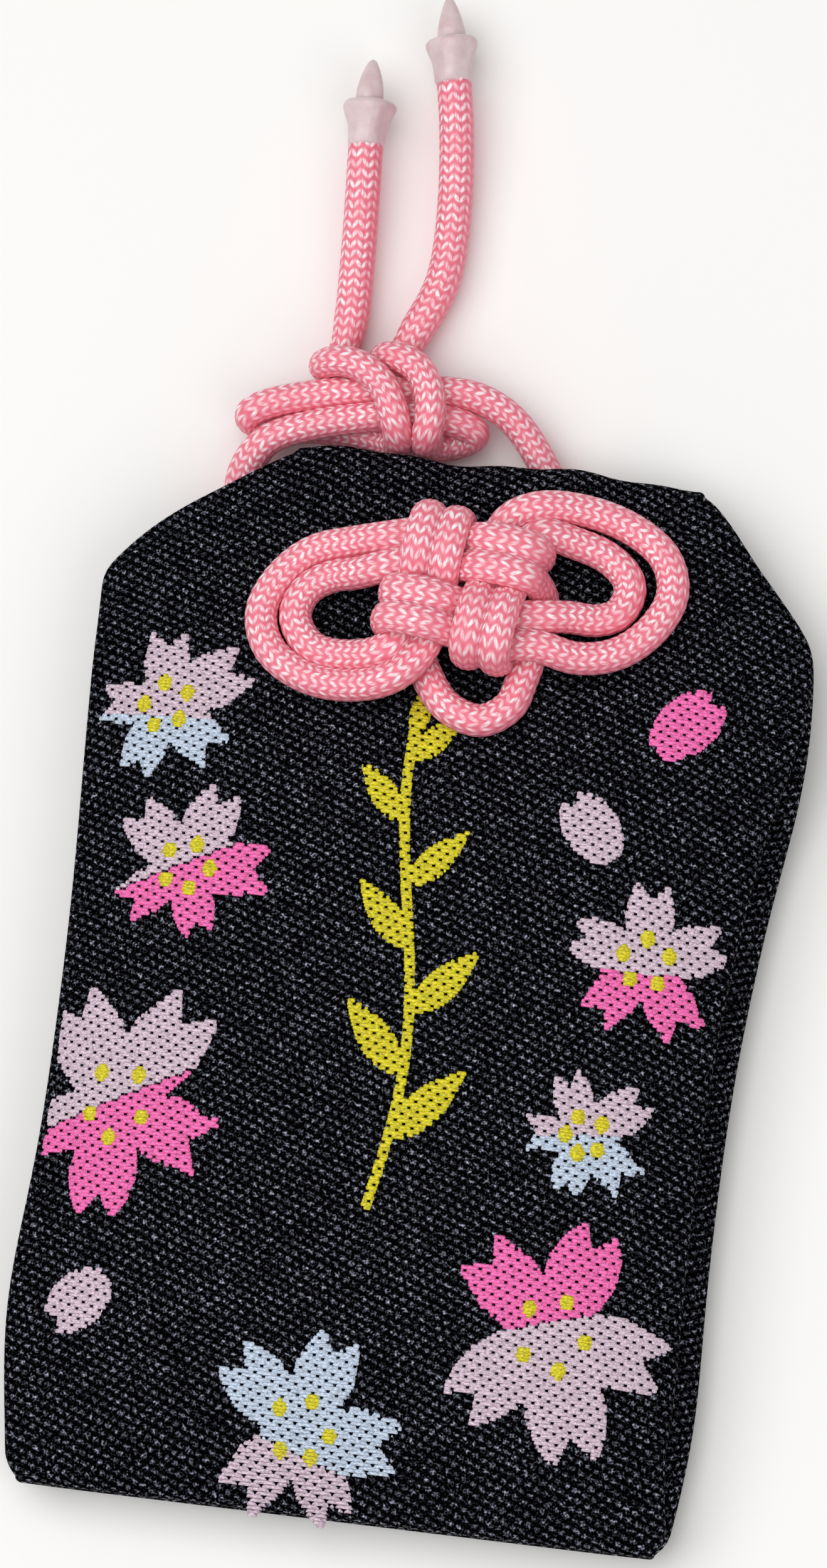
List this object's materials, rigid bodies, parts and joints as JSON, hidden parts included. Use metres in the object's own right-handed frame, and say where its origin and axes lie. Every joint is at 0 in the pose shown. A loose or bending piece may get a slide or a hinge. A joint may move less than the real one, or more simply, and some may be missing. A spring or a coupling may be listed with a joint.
{
  "type": "omamori charm",
  "caption": "Small lined brocade pouch with chamfered shoulders, a paper-wrapped tablet inside and a braided cord tied in a flat front knot and a hitched hanging knot with sealed ends.",
  "frame": {"origin": "on the table, under the middle of the pouch, which lies on its back", "axes": "+X across the pouch to the right of its face, +Y up the pouch to its mouth and the hanging knot, +Z out of its face"},
  "size_m": [0.0512, 0.1094, 0.0137],
  "materials": {
    "brocade": "satin",
    "lining": "matte",
    "card": "matte",
    "tablet_wood": "matte",
    "paper": "matte",
    "cord": "satin",
    "sealed_end": "gloss"
  },
  "bodies": {
    "pouch": {"front_panel": "brocade", "back_panel": "brocade", "front_lining": "lining", "back_lining": "lining", "left_gusset": "brocade", "right_gusset": "brocade", "stiffener_card": "card", "left_through_cord": "cord", "right_through_cord": "cord"},
    "insert": {"prayer_tablet": "tablet_wood", "prayer_slip": "paper", "tablet_wrapper": "paper"},
    "knot": {"front_knot": "cord"},
    "loop": {"left_strand": "cord", "right_strand": "cord"},
    "left_tail": {"left_tail_cord": "cord", "left_end_sleeve": "sealed_end", "left_end_tip": "sealed_end"},
    "right_tail": {"right_tail_cord": "cord", "right_end_sleeve": "sealed_end", "right_end_tip": "sealed_end"}
  },
  "joints": [
    {"name": "knot_pull", "type": "slide", "parent": "pouch", "child": "knot", "axis": [0, 0, 1], "range_m": [0, 0.003]},
    {"name": "loop_draw", "type": "slide", "parent": "pouch", "child": "loop", "axis": [0, 1, 0], "range_m": [0, 0.008]},
    {"name": "left_tail_swing", "type": "hinge", "parent": "loop", "child": "left_tail", "pos_m": [-0.0108, 0.0468, 0.0015], "axis": [0, 0, 1], "range_deg": [-5, 30]},
    {"name": "right_tail_swing", "type": "hinge", "parent": "loop", "child": "right_tail", "pos_m": [-0.0061, 0.0473, 0.0015], "axis": [0, 0, 1], "range_deg": [-30, 5]},
    {"name": "insert_shift", "type": "slide", "parent": "pouch", "child": "insert", "axis": [0, 1, 0], "range_m": [0, 0.002]}
  ]
}
